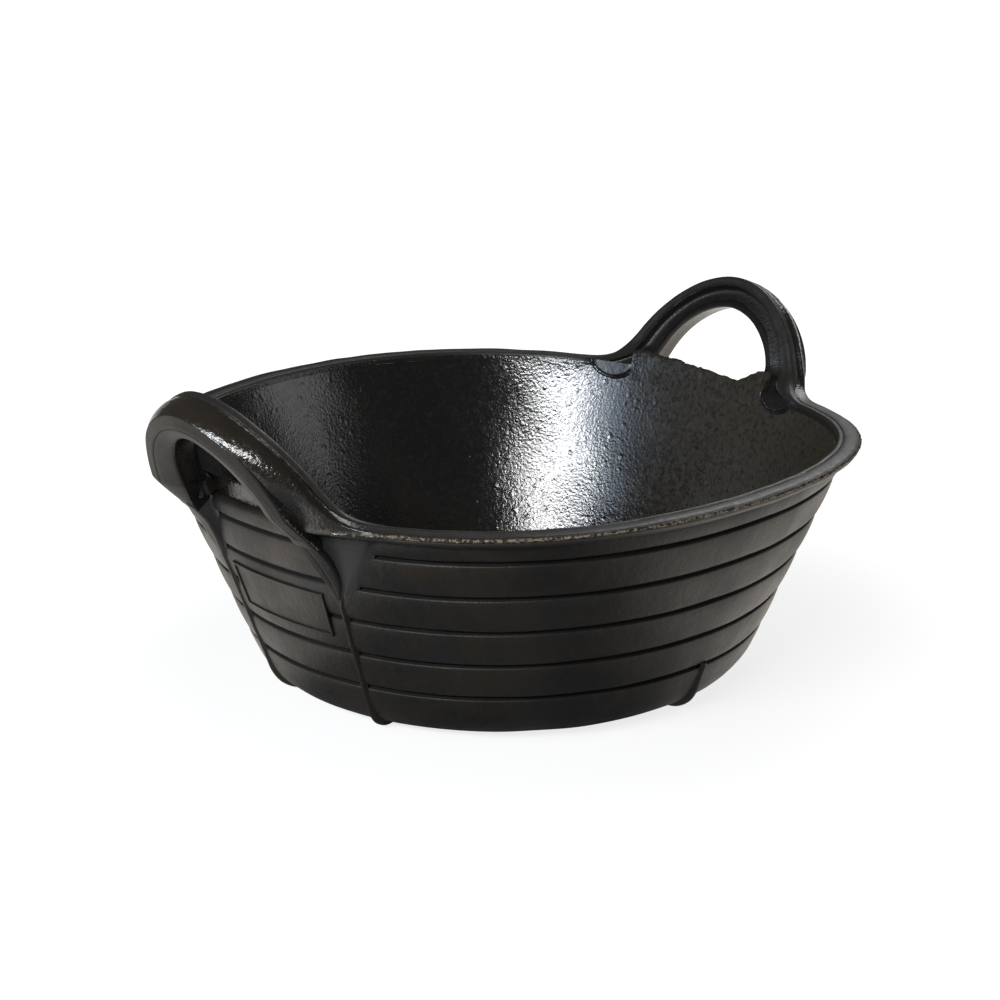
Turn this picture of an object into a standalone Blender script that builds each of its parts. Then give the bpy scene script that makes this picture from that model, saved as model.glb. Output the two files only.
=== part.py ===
"""A moulded black rubber tub with two loop handles, as the separate pieces it is laid up from.

World frame: +Z up, origin under the middle of the tub on the surface it stands on, handles on -X and +X.
Two directions are used on the tub's side. "up" runs up the slope from the rim, and "out" is square to
the wall, from its outer face.
"""
import math

import bmesh
import bpy
from mathutils import Vector
from mathutils.geometry import interpolate_bezier

# Gap between pieces that touch
CLEARANCE = 0.0003

# Tub
RIM_RADIUS = 0.204
RIM_HEIGHT = 0.1432
FOOT_RADIUS = 0.1571
FOOT_HEIGHT = 0.0177
FLOOR_RADIUS = 0.1342
WALL_THICKNESS = 0.0070
FLOOR_THICKNESS = 0.0080
RUNNER_HEIGHT = 0.0030

# The rim of the real tub is pulled out of round by its handles, and hangs lowest under them
RIM_STRETCH = -0.0053
RIM_SQUARENESS = -0.0046
RIM_DIP = -0.0028

# Bands of the side wall
TOP_GROOVE_HEIGHT = 0.1238
BAND_PITCH = 0.0229
GROOVES = 5
GROOVE_DEPTH = 0.0013
GROOVE_HALF_WIDTH = 0.0010

# Upper edge of the wall: a thin web stands inside the seat of the rim lip
WEB_THICKNESS = 0.0030
LIP_SEAT_DEPTH = 0.0080
LIP_OVERHANG = 0.0058
LIP_EDGE_DROP = 0.0017
LIP_TOP_DROP = 0.0003
WEB_TOP_DROP = 0.0010

# Handles, seen square to the wall: reach along the rim from the middle, and rise up the slope.
# The flare is how far they lean out past the wall's own slope.
HANDLE_REACH = 0.1095
HANDLE_RISE = 0.0703
HANDLE_FLARE = math.radians(1.1)
HOLE_HALF_WIDTH = 0.0474
HOLE_RISE = 0.0486
HOLE_ROUNDNESS = 1.83

# The handle's outline bends at its shoulder. Sweeps are how far each end of a curve runs straight on
SHOULDER_SHARE_OF_REACH = 0.584
SHOULDER_SHARE_OF_RISE = 0.354
SHOULDER_SLOPE = math.radians(57.6)
ROOT_SWEEP = 0.0253
LOWER_SHOULDER_SWEEP = 0.0174
UPPER_SHOULDER_SWEEP = 0.0187
TOP_SWEEP = 0.0295

# Section of the handle's bar: a round back over a flat strip that ends at the hand hole
BAR_SET_OUT = -0.0004
BAR_DEPTH = 0.0200
STRIP_DEPTH = 0.0132

# Share of half the handle's length that lies along the rim, at its root
ROOT_SHARE = 0.36

# Gusset pads under the handle roots: as deep as the root above them at the top, and thin at the foot
PAD_FOOT_THICKNESS = 0.0020
PAD_EDGE = 0.0008
PAD_BEVEL = 0.0022
PAD_DROP = 0.0430
PAD_HOLLOWNESS = 1.4

# Ends of the handle strips, pressed on to the inside of the wall
TONGUE_ANGLE = math.radians(21.8)
TONGUE_HALF_WIDTH = math.radians(5.2)
TONGUE_DROP = 0.0125
TONGUE_THICKNESS = 0.0012

# Reinforcing beads down the wall and under the floor
RIB_ANGLE = math.radians(16.4)
SIDE_RIB_TOP_HEIGHT = 0.0340
RIB_HALF_WIDTH = 0.0019

# Facets
ROUND_STEPS = 80
LIP_STEPS = 26
HANDLE_STEPS = 20
HOLE_STEPS = 24
PAD_ROWS = 10
PAD_COLUMNS = 7
ROOT_STEPS = 12
TONGUE_STEPS = 10

# Worked out from the sizes above
WALL_LEAN = math.atan2(RIM_RADIUS - FOOT_RADIUS, RIM_HEIGHT - RUNNER_HEIGHT - FOOT_HEIGHT)
FOOT_TOP = RUNNER_HEIGHT + FOOT_HEIGHT
ROOT_ANGLE = HANDLE_REACH / RIM_RADIUS
NEAR_SIDE = math.pi
FAR_SIDE = 0.0


def clear_scene():
    for old in list(bpy.data.objects):
        bpy.data.objects.remove(old, do_unlink=True)


def rubber(name, colour, roughness):
    material = bpy.data.materials.new(name)
    material.use_nodes = True
    shader = material.node_tree.nodes["Principled BSDF"]
    shader.inputs["Base Color"].default_value = (*colour, 1.0)
    shader.inputs["Roughness"].default_value = roughness
    shader.inputs["Metallic"].default_value = 0.0
    material.diffuse_color = (*colour, 1.0)
    return material


def add_object(name, bm, colour, roughness):
    bmesh.ops.recalc_face_normals(bm, faces=bm.faces)
    mesh = bpy.data.meshes.new(name)
    bm.to_mesh(mesh)
    bm.free()
    mesh.shade_smooth()
    mesh.set_sharp_from_angle(angle=math.radians(35))
    mesh.materials.append(rubber(name, colour, roughness))
    piece = bpy.data.objects.new(name, mesh)
    bpy.context.scene.collection.objects.link(piece)
    return piece


def place(angle, radius, height):
    """A point of the tub, with the rim's uneven shape worked in from the foot up."""
    level = min(max((height - FOOT_TOP) / (RIM_HEIGHT - FOOT_TOP), 0.0), 1.0)
    swell = RIM_STRETCH * math.cos(2 * angle) + RIM_SQUARENESS * math.cos(4 * angle)
    reach = radius + level * swell
    lift = level * RIM_DIP * math.cos(2 * angle)
    return Vector((reach * math.cos(angle), reach * math.sin(angle), height + lift))


def skin_profile(up, out):
    """Radius and height of a point given up the slope from the rim and out from the wall."""
    radius = RIM_RADIUS + up * math.sin(WALL_LEAN) + out * math.cos(WALL_LEAN)
    height = RIM_HEIGHT + up * math.cos(WALL_LEAN) - out * math.sin(WALL_LEAN)
    return radius, height


def skin(angle, up, out):
    return place(angle, *skin_profile(up, out))


def from_level(reach, rise):
    """Up and out of a point given level from the wall's outer face and plumb from the rim's height."""
    up = reach * math.sin(WALL_LEAN) + rise * math.cos(WALL_LEAN)
    out = reach * math.cos(WALL_LEAN) - rise * math.sin(WALL_LEAN)
    return up, out


def up_at_drop(drop, out):
    """How far up the slope a point lies that is a drop below the rim's height, at a depth in the wall."""
    return (out * math.sin(WALL_LEAN) - drop) / math.cos(WALL_LEAN)


def up_at_height(height):
    return (height - RIM_HEIGHT) / math.cos(WALL_LEAN)


def foot_curve(inset, floor_height, start_height, steps):
    """The rounded foot as radius and height, from the sloping wall down to the floor's edge."""
    start = Vector((*skin_profile(up_at_height(start_height - inset * math.sin(WALL_LEAN)), -inset), 0))
    end = Vector((FLOOR_RADIUS, floor_height, 0))
    fall = Vector((-math.sin(WALL_LEAN), -math.cos(WALL_LEAN), 0)) * (start.y - end.y) * 0.5
    run = Vector(((start.x - end.x) * 0.55, 0, 0))
    curve = interpolate_bezier(start, start + fall, end + run, end, steps)
    return [(point.x, point.y) for point in curve]


def loft(rings, closed=False):
    """A closed skin over rings that all have the same number of points."""
    bm = bmesh.new()
    loops = [[bm.verts.new(point) for point in ring] for ring in rings]
    pairs = list(zip(loops, loops[1:]))
    if closed:
        pairs.append((loops[-1], loops[0]))
    else:
        bm.faces.new(loops[0])
        bm.faces.new(loops[-1])
    for first, second in pairs:
        for index in range(len(first)):
            following = (index + 1) % len(first)
            bm.faces.new((first[index], first[following], second[following], second[index]))
    return bm


def wall_profile():
    """Outline of the side wall's section: down the outside, then up the inside."""
    seat = -LIP_SEAT_DEPTH
    web = -WALL_THICKNESS + WEB_THICKNESS
    profile = [skin_profile(up_at_drop(WEB_TOP_DROP, -WALL_THICKNESS), -WALL_THICKNESS),
               skin_profile(up_at_drop(WEB_TOP_DROP, web), web), skin_profile(seat, web), skin_profile(seat, 0)]
    for groove in range(GROOVES):
        middle = up_at_height(TOP_GROOVE_HEIGHT - groove * BAND_PITCH)
        profile.append(skin_profile(middle + GROOVE_HALF_WIDTH, 0))
        profile.append(skin_profile(middle, -GROOVE_DEPTH))
        profile.append(skin_profile(middle - GROOVE_HALF_WIDTH, 0))
    profile += foot_curve(0, RUNNER_HEIGHT, FOOT_TOP, 6)
    inner_foot_top = FOOT_TOP + WALL_THICKNESS
    profile += reversed(foot_curve(WALL_THICKNESS, RUNNER_HEIGHT + FLOOR_THICKNESS, inner_foot_top, 6))
    return profile


def make_side_wall():
    profile = wall_profile()
    turns = [2 * math.pi * step / ROUND_STEPS for step in range(ROUND_STEPS)]
    rings = [[place(turn, radius, height) for radius, height in profile] for turn in turns]
    return add_object("side_wall", loft(rings, closed=True), (0.030, 0.029, 0.029), 0.55)


def make_floor_disc():
    bm = bmesh.new()
    radius = FLOOR_RADIUS - CLEARANCE
    bmesh.ops.create_cone(bm, cap_ends=True, segments=ROUND_STEPS, radius1=radius, radius2=radius,
                          depth=FLOOR_THICKNESS)
    bmesh.ops.translate(bm, verts=bm.verts, vec=(0, 0, RUNNER_HEIGHT + FLOOR_THICKNESS / 2))
    return add_object("floor_disc", bm, (0.026, 0.025, 0.026), 0.45)


def lip_section():
    """The level-topped rim lip in section as (up, out) points, from the middle of its inner face outwards."""
    seat = -LIP_SEAT_DEPTH + CLEARANCE
    inner = -WALL_THICKNESS + WEB_THICKNESS + CLEARANCE
    inner_top = up_at_drop(WEB_TOP_DROP, inner)
    reach = LIP_OVERHANG
    drop = LIP_EDGE_DROP
    return [((seat + inner_top) / 2, inner), (seat, inner), (seat, inner * 0.4), (seat, reach * 0.12),
            from_level(reach * 0.30, -drop * 3.8), from_level(reach * 0.66, -drop * 2.9),
            from_level(reach * 0.93, -drop * 1.6), from_level(reach, -drop),
            from_level(reach * 0.86, -(drop + LIP_TOP_DROP) / 2), from_level(reach * 0.52, -LIP_TOP_DROP),
            from_level(0.0, -LIP_TOP_DROP), (inner_top, inner)]


def bar_section():
    """The handle's bar as (across, out) points, across from -1 at the hole to +1 at the outside."""
    inner = BAR_SET_OUT
    strip = inner + STRIP_DEPTH
    back = inner + BAR_DEPTH
    swell = back - strip
    return [(0.0, inner), (-0.80, inner), (-1.0, inner + STRIP_DEPTH * 0.16), (-1.0, strip - STRIP_DEPTH * 0.16),
            (-0.86, strip - STRIP_DEPTH * 0.03), (-0.40, strip), (-0.16, strip + swell * 0.58), (0.24, back),
            (0.62, back - swell * 0.18), (0.90, strip + swell * 0.15), (1.0, inner + BAR_DEPTH * 0.30),
            (0.92, inner)]


def make_rim_lip(name, middle):
    half = math.pi / 2 - ROOT_ANGLE - CLEARANCE / RIM_RADIUS
    section = lip_section()
    turns = [middle - half + 2 * half * step / LIP_STEPS for step in range(LIP_STEPS + 1)]
    rings = [[skin(turn, up, out) for up, out in section] for turn in turns]
    return add_object(name, loft(rings), (0.034, 0.032, 0.031), 0.45)


def handle_outer_edge():
    """Outer edge of a half handle as (along the rim, up), from the root's end to the top of the loop."""
    root = Vector((HANDLE_REACH, max(up for up, out in lip_section()), 0))
    shoulder = Vector((HANDLE_REACH * SHOULDER_SHARE_OF_REACH, HANDLE_RISE * SHOULDER_SHARE_OF_RISE, 0))
    top = Vector((0, HANDLE_RISE, 0))
    slope = Vector((math.cos(SHOULDER_SLOPE), -math.sin(SHOULDER_SLOPE), 0))
    low = interpolate_bezier(root, root - Vector((ROOT_SWEEP, 0, 0)), shoulder + slope * LOWER_SHOULDER_SWEEP,
                             shoulder, HOLE_STEPS)
    high = interpolate_bezier(shoulder, shoulder - slope * UPPER_SHOULDER_SWEEP, top + Vector((TOP_SWEEP, 0, 0)),
                              top, HOLE_STEPS)
    return low + high[1:]


def handle_inner_edge():
    """Lower edge of a half handle: along the seat on the wall, then round the hand hole to its top."""
    seat = -LIP_SEAT_DEPTH + CLEARANCE
    run = [Vector((HANDLE_REACH, seat, 0))]
    power = 2 / HOLE_ROUNDNESS
    for step in range(HOLE_STEPS + 1):
        turn = math.pi / 2 * step / HOLE_STEPS
        along = HOLE_HALF_WIDTH * max(math.cos(turn), 0.0) ** power
        run.append(Vector((along, seat + (HOLE_RISE - seat) * math.sin(turn) ** power, 0)))
    return run


def along_path(path, share):
    """The point at a share of a path's length."""
    lengths = [(b - a).length for a, b in zip(path, path[1:])]
    target = share * sum(lengths)
    for start, end, length in zip(path, path[1:], lengths):
        if target <= length:
            return start.lerp(end, target / length)
        target -= length
    return path[-1].copy()


def handle_station(share, outer, inner):
    """Section of the half handle at a share of its length: the lip's form grows into the bar."""
    if share < ROOT_SHARE:
        low = along_path(inner, 0.42 * share / ROOT_SHARE)
        high = along_path(outer, 0.29 * share / ROOT_SHARE)
    else:
        rest = (share - ROOT_SHARE) / (1 - ROOT_SHARE)
        low = along_path(inner, 0.42 + 0.58 * rest)
        high = along_path(outer, 0.29 + 0.71 * rest)
    blend = min(share / 0.42, 1.0)
    blend = blend * blend * (3 - 2 * blend)
    lip = lip_section()
    seat = min(up for up, out in lip)
    crest = max(up for up, out in lip)
    points = []
    for (lip_up, lip_out), (across, bar_out) in zip(lip, bar_section()):
        lip_across = 2 * (lip_up - seat) / (crest - seat) - 1
        place_across = lip_across + (across - lip_across) * blend
        spot = low.lerp(high, (place_across + 1) / 2)
        flare = math.tan(HANDLE_FLARE) * max(spot.y, 0.0)
        points.append((spot.x, spot.y, lip_out + (bar_out - lip_out) * blend + flare))
    return points


def make_handle(name, side):
    outer = handle_outer_edge()
    inner = handle_inner_edge()
    stations = [handle_station(step / HANDLE_STEPS, outer, inner) for step in range(HANDLE_STEPS + 1)]
    rings = [[skin(side - along / RIM_RADIUS, up, out) for along, up, out in station] for station in stations]
    back = [[skin(side + along / RIM_RADIUS, up, out) for along, up, out in station] for station in stations]
    return add_object(name, loft(rings + back[-2::-1]), (0.032, 0.031, 0.032), 0.35)


def root_underside():
    """The outer edge of a handle root's underside, as (angle from the handle's middle, out)."""
    outer = handle_outer_edge()
    inner = handle_inner_edge()
    line = []
    for step in range(ROOT_STEPS + 1):
        along, up, out = handle_station(ROOT_SHARE * step / ROOT_STEPS, outer, inner)[3]
        line.append((along / RIM_RADIUS, out))
    return line


def pad_depth(turn, share, underside):
    """How far out a pad stands at an angle and a share of the way down. It is hollowed towards its foot."""
    top = underside[-1][1]
    for (far, low), (close, high) in zip(underside, underside[1:]):
        if close <= turn <= far:
            top = low + (high - low) * (far - turn) / (far - close)
    return PAD_FOOT_THICKNESS + max(top - PAD_FOOT_THICKNESS, 0.0) * (1 - share) ** PAD_HOLLOWNESS


def pad_edges(share):
    """Angles from the handle's middle of a pad's two edges, at a share of the way down.

    The edges are drawn as shares of the handle's reach, and close on the rib at the foot of the pad.
    """
    foot = RIB_ANGLE / ROOT_ANGLE
    hole_side = interpolate_bezier(Vector((0.42, 0, 0)), Vector((0.41, 0.40, 0)), Vector((0.44, 0.70, 0)),
                                   Vector((foot - 0.02, 1, 0)), 20)
    rim_side = interpolate_bezier(Vector((0.85, 0, 0)), Vector((0.79, 0.35, 0)), Vector((0.68, 0.65, 0)),
                                  Vector((foot + 0.06, 1, 0)), 20)
    edges = []
    for curve in (hole_side, rim_side):
        for start, end in zip(curve, curve[1:]):
            if start.y <= share <= end.y + 1e-5:
                edges.append(ROOT_ANGLE * start.lerp(end, (share - start.y) / (end.y - start.y)).x)
                break
    return edges


def make_shoulder_pad(name, side, hand):
    top = -LIP_SEAT_DEPTH - CLEARANCE
    underside = root_underside()
    rings = []
    for row in range(PAD_ROWS + 1):
        share = row / PAD_ROWS
        first, last = pad_edges(share)
        up = top - PAD_DROP * share
        edge = min(PAD_BEVEL / RIM_RADIUS, (last - first) * 0.3)
        width = last - first - 2 * edge
        face = [first + edge + width * step / PAD_COLUMNS for step in range(PAD_COLUMNS + 1)]
        depths = [pad_depth(turn, share, underside) for turn in face]
        ring = [(first, CLEARANCE), (first, depths[0] - PAD_EDGE)]
        ring += zip(face, depths)
        ring += [(last, PAD_EDGE), (last, CLEARANCE)]
        ring += [(turn, CLEARANCE) for turn in reversed(face)]
        rings.append([skin(side + hand * turn, up, out) for turn, out in ring])
    return add_object(name, loft(rings), (0.036, 0.035, 0.035), 0.5)


def make_tongue(name, side, hand):
    """The lens-shaped end of a handle strip, lying on the wall's inner face under the rim."""
    inner = -WALL_THICKNESS - CLEARANCE
    top = up_at_drop(WEB_TOP_DROP, inner) - CLEARANCE
    rings = []
    for step in range(TONGUE_STEPS + 1):
        swing = -0.98 + 1.96 * step / TONGUE_STEPS
        angle = side + hand * (TONGUE_ANGLE + swing * TONGUE_HALF_WIDTH)
        drop = TONGUE_DROP * math.sqrt(1 - swing * swing)
        thickness = TONGUE_THICKNESS * (0.45 + 0.55 * math.sqrt(1 - swing * swing))
        edge = min(0.0012, drop * 0.25)
        ring = [(top, inner), (top, inner - thickness), (top - drop + edge, inner - thickness),
                (top - drop, inner - thickness * 0.4), (top - drop, inner)]
        rings.append([skin(angle, up, out) for up, out in ring])
    return add_object(name, loft(rings), (0.030, 0.030, 0.033), 0.25)


def bead_section():
    """Bead with a narrow flat tread, as (side, out) points."""
    height = RUNNER_HEIGHT
    width = RIB_HALF_WIDTH
    tread = width * 0.55
    return [(-width, CLEARANCE), (-width * 0.94, height * 0.55), (-tread, height),
            (tread, height), (width * 0.94, height * 0.55), (width, CLEARANCE)]


def wall_bead_rings(angle, top_height, stop_radius):
    """Rings of a bead that runs down the wall at an angle and round the foot to a radius under the floor."""
    wall_run = [skin_profile(up_at_height(top_height + (FOOT_TOP - top_height) * step / 5), 0) for step in range(5)]
    path = wall_run + foot_curve(0, RUNNER_HEIGHT, FOOT_TOP, 8)
    if stop_radius < FLOOR_RADIUS:
        path.append((stop_radius, RUNNER_HEIGHT))
    points = [place(angle, radius, height) for radius, height in path]
    side = Vector((-math.sin(angle), math.cos(angle), 0))
    rings = []
    for index, point in enumerate(points):
        before = points[max(index - 1, 0)]
        after = points[min(index + 1, len(points) - 1)]
        along = (after - before).normalized()
        if index == len(points) - 1:
            along = Vector((-math.cos(angle), -math.sin(angle), 0))
        normal = along.cross(side)
        rings.append([point + side * across + normal * out for across, out in bead_section()])
    return rings


def make_wall_rib(name, angle):
    """A rib from the foot of a shoulder pad down the wall and round to the floor's edge."""
    top = skin_profile(-LIP_SEAT_DEPTH - CLEARANCE - PAD_DROP - CLEARANCE, 0)[1]
    return add_object(name, loft(wall_bead_rings(angle, top, FLOOR_RADIUS)), (0.034, 0.033, 0.033), 0.5)


def runner_ring(x, y, heading):
    """Section of a runner under the floor, cut square to a heading."""
    side = Vector((-math.sin(heading), math.cos(heading), 0))
    point = Vector((x, y, RUNNER_HEIGHT))
    return [point + side * across + Vector((0, 0, -out)) for across, out in bead_section()]


def make_floor_runner(name, hand):
    """A runner from handle to handle under the floor, its ends cut to meet the wall ribs."""
    y = hand * FLOOR_RADIUS * math.sin(RIB_ANGLE)
    end = FLOOR_RADIUS * math.cos(RIB_ANGLE)
    cut = hand * RIB_ANGLE
    slip = CLEARANCE
    rings = [runner_ring(-end + slip * math.cos(cut), y - slip * math.sin(cut), -cut),
             runner_ring(-end * 0.94, y, 0), runner_ring(0, y, 0), runner_ring(end * 0.94, y, 0),
             runner_ring(end - slip * math.cos(cut), y - slip * math.sin(cut), cut)]
    return add_object(name, loft(rings), (0.028, 0.027, 0.027), 0.6)


def make_cross_rib(name, angle):
    """A rib that starts on the lowest band between the handles and runs under the floor to a runner."""
    runner = FLOOR_RADIUS * math.sin(RIB_ANGLE) + RIB_HALF_WIDTH + CLEARANCE
    return add_object(name, loft(wall_bead_rings(angle, SIDE_RIB_TOP_HEIGHT, runner)), (0.034, 0.033, 0.033), 0.5)


def make_middle_rib():
    reach = FLOOR_RADIUS * math.sin(RIB_ANGLE) - RIB_HALF_WIDTH - CLEARANCE
    rings = [runner_ring(0, -reach, math.pi / 2), runner_ring(0, reach, math.pi / 2)]
    return add_object("cross_rib_middle", loft(rings), (0.028, 0.027, 0.027), 0.6)


def build():
    clear_scene()
    make_floor_disc()
    make_side_wall()
    make_rim_lip("rim_lip_front", -math.pi / 2)
    make_rim_lip("rim_lip_back", math.pi / 2)
    for end, side in (("near", NEAR_SIDE), ("far", FAR_SIDE)):
        make_handle(f"{end}_handle", side)
        for edge, hand in (("left", -1), ("right", 1)):
            make_shoulder_pad(f"{end}_shoulder_pad_{edge}", side, hand)
            make_tongue(f"{end}_handle_tongue_{edge}", side, hand)
            make_wall_rib(f"{end}_wall_rib_{edge}", side + hand * RIB_ANGLE)
    make_floor_runner("floor_runner_front", -1)
    make_floor_runner("floor_runner_back", 1)
    make_cross_rib("cross_rib_front", -math.pi / 2)
    make_cross_rib("cross_rib_back", math.pi / 2)
    make_middle_rib()


build()
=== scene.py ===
from math import atan2, cos, hypot, pi, radians, sin, tan
from types import SimpleNamespace

import bmesh
import bpy
from mathutils import Matrix, Vector, noise
from mathutils.geometry import interpolate_bezier


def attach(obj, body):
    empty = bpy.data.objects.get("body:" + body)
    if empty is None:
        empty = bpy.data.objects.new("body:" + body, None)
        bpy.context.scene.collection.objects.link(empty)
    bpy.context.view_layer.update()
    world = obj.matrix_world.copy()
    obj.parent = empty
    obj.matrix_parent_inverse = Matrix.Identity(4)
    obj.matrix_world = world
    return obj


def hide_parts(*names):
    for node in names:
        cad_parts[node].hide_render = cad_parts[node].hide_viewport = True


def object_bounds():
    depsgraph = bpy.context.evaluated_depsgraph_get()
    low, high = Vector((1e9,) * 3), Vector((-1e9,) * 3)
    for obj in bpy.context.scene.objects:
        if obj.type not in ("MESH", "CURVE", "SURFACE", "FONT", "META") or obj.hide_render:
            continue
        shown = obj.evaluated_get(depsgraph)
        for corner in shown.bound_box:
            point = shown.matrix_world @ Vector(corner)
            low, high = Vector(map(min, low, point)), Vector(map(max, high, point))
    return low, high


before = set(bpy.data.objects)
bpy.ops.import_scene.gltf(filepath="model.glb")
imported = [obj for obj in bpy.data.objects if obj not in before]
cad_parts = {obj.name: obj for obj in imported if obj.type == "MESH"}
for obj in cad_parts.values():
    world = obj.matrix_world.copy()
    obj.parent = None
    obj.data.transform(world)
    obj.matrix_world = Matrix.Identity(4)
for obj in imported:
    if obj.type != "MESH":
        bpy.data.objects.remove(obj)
cad_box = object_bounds()
FLOOR_LEVEL = cad_box[0][2]

# The tub body: wall, rounded foot and floor in one skin of vulcanised rubber, pressed in a mould.
# Five creases run round its outside, where strips of raw rubber met, and the inside is smooth but pitted.
# The mould's rim is pulled a little out of round and hangs lowest under the handles.
RIM_RADIUS = 0.204
RIM_HEIGHT = 0.1432
FOOT_RADIUS = 0.1571
FOOT_HEIGHT = 0.0177
FLOOR_RADIUS = 0.1342
WALL_THICKNESS = 0.0070
FLOOR_THICKNESS = 0.0080
RUNNER_HEIGHT = 0.0030
RIM_STRETCH = -0.0053
RIM_SQUARENESS = -0.0046
RIM_DIP = -0.0028
LIP_SEAT_DEPTH = 0.0080

WALL_LEAN = atan2(RIM_RADIUS - FOOT_RADIUS, RIM_HEIGHT - RUNNER_HEIGHT - FOOT_HEIGHT)
FOOT_TOP = RUNNER_HEIGHT + FOOT_HEIGHT
FLOOR_TOP = RUNNER_HEIGHT + FLOOR_THICKNESS
SEAT = -LIP_SEAT_DEPTH
NEAR_SIDE = pi
FAR_SIDE = 0.0
HANDLE_SIDES = (("near", NEAR_SIDE), ("far", FAR_SIDE))
HANDLE_ROOTS = [(end, side, edge_name, hand) for end, side in HANDLE_SIDES
                for edge_name, hand in (("left", -1), ("right", 1))]

MM = 1000


def draw_line(per_unit, *points):
    """A line or section drawn as pairs, each number given in millimetres, shares or degrees."""
    return [(first / per_unit[0], second / per_unit[1]) for first, second in points]


# Profiles of the wall are drawn as (up the slope, out from the wall), from the top down
TOP_GROOVE_HEIGHT = 0.1238
BAND_PITCH = 0.0229
GROOVES = 5
CREASE = draw_line((MM, MM), (2.7, -0.1), (2.1, -0.3), (1.8, -1.2), (1.5, -2.4), (0.9, -3), (-0.3, -2.9),
    (-0.9, -2.1), (-1.2, -1), (-1.6, -0.3), (-2.3, -0.1))
TOP_SHOULDER = draw_line((MM, MM), (0, -4), (-0.1, -3.1), (-0.4, -2.1), (-1, -1.2), (-1.8, -0.6),
    (-2.9, -0.1), (-4.4, 0.2), (-6.8, 0.3), (-9.2, 0.2))
LAST_BAND = draw_line((MM, MM), (-5, 0.3), (-8.5, 0.2))
CREASE_REACH = 0.0021
BAND_SWELL = 0.0007
BAND_FULLNESS = 0.7
BAND_STEPS = 10
FOOT_STEPS = 12
WALL_STEPS = 30
FLOOR_RINGS = (0.85, 0.7, 0.5, 0.3, 0.15)
BODY_TURNS = 420

# Where the inside and the painted shade in the bottoms of the creases begin, by depth and height
SKIN_MIDDLE = -0.0040
CREASE_SHADE_DEPTH = -0.0004
CREASE_SHADE_FOOT = FOOT_TOP + 0.004
CREASE_SHADE_TOP = RIM_HEIGHT - 0.012


def clamp(value):
    return min(max(value, 0.0), 1.0)


def ease(share):
    """A share from 0 to 1 that starts and ends softly."""
    return share * share * (3 - 2 * share)


def rim_level(height):
    """How much of the rim's shape a height takes on: none at the foot, all at the rim."""
    return clamp((height - FOOT_TOP) / (RIM_HEIGHT - FOOT_TOP))


def out_of_round(angle, radius, height):
    """Where the mould puts a point, given its angle, radius and height on a true round tub."""
    level = rim_level(height)
    reach = radius + level * (RIM_STRETCH * cos(2 * angle) + RIM_SQUARENESS * cos(4 * angle))
    lift = level * RIM_DIP * cos(2 * angle)
    return Vector((reach * cos(angle), reach * sin(angle), height + lift))


def slope_point(up, out):
    """Radius and height of a point up the slope from the rim, and out from the wall."""
    radius = RIM_RADIUS + up * sin(WALL_LEAN) + out * cos(WALL_LEAN)
    return radius, RIM_HEIGHT + up * cos(WALL_LEAN) - out * sin(WALL_LEAN)


def on_wall(angle, up, out):
    return out_of_round(angle, *slope_point(up, out))


def up_at_height(height):
    return (height - RIM_HEIGHT) / cos(WALL_LEAN)


def wall_depth(point):
    """How far a point of the round tub lies out from the face of its wall."""
    return hypot(point.x, point.y) - RIM_RADIUS - (point.z - RIM_HEIGHT) * tan(WALL_LEAN)


def foot_curve(inset, floor_height, start_height, steps):
    """The rounded foot as radius and height, from the sloping wall down to the floor's edge."""
    start = Vector((*slope_point(up_at_height(start_height - inset * sin(WALL_LEAN)), -inset), 0))
    end = Vector((FLOOR_RADIUS, floor_height, 0))
    fall = Vector((-sin(WALL_LEAN), -cos(WALL_LEAN), 0)) * (start.y - end.y) * 0.5
    run = Vector(((start.x - end.x) * 0.55, 0, 0))
    curve = interpolate_bezier(start, start + fall, end + run, end, steps)
    return [(point.x, point.y) for point in curve]


def band_run():
    """The outside of the wall from the seat of the rim to the foot: swelling bands between sharp creases."""
    run = [slope_point(SEAT + rise, depth) for rise, depth in TOP_SHOULDER]
    below = BAND_PITCH / cos(WALL_LEAN)
    for groove in range(GROOVES):
        middle = up_at_height(TOP_GROOVE_HEIGHT - groove * BAND_PITCH)
        run += [slope_point(middle + rise, depth) for rise, depth in CREASE]
        if groove == GROOVES - 1:
            run += [slope_point(middle + rise, depth) for rise, depth in LAST_BAND]
            break
        for step in range(1, BAND_STEPS):
            share = step / BAND_STEPS
            up = middle - CREASE_REACH - (below - 2 * CREASE_REACH) * share
            run.append(slope_point(up, BAND_SWELL * (4 * share * (1 - share)) ** BAND_FULLNESS))
    return run


def chain_edges(bm, points):
    """A chain of edges, drawn by pulling one vertex out of the last."""
    tip = bm.verts.new(points[0])
    for point in points[1:]:
        pulled = bmesh.ops.extrude_vert_indiv(bm, verts=[tip])
        tip = pulled["verts"][0]
        tip.co = point
    return bm.edges[:]


def weave_grid(bm, columns, rows):
    """A grid of faces, with the column and row of each vertex."""
    bmesh.ops.create_grid(bm, x_segments=columns, y_segments=rows, size=1.0)
    return [(vert, round((vert.co.x + 1) / 2 * columns), round((vert.co.y + 1) / 2 * rows))
            for vert in bm.verts]


def seal(bm, ends=True):
    """Joins the edges that meet, closes the open ends and turns every face outward."""
    bmesh.ops.remove_doubles(bm, verts=bm.verts, dist=0.00001)
    if ends:
        bmesh.ops.holes_fill(bm, edges=bm.edges, sides=0)
    bmesh.ops.recalc_face_normals(bm, faces=bm.faces)


def soften(bm, strength, size, seed):
    """The slight unevenness of hand-laid rubber: every point moves along its normal by smooth noise."""
    bm.normal_update()
    moves = []
    for vert in bm.verts:
        wave = noise.noise(vert.co / size + Vector((seed, seed * 0.7, seed * 1.3)))
        moves.append((vert, vert.normal * wave * strength))
    for vert, move in moves:
        vert.co += move


def add_object(name, data):
    added = bpy.data.objects.new(name, data)
    bpy.context.scene.collection.objects.link(added)
    return added


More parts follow.
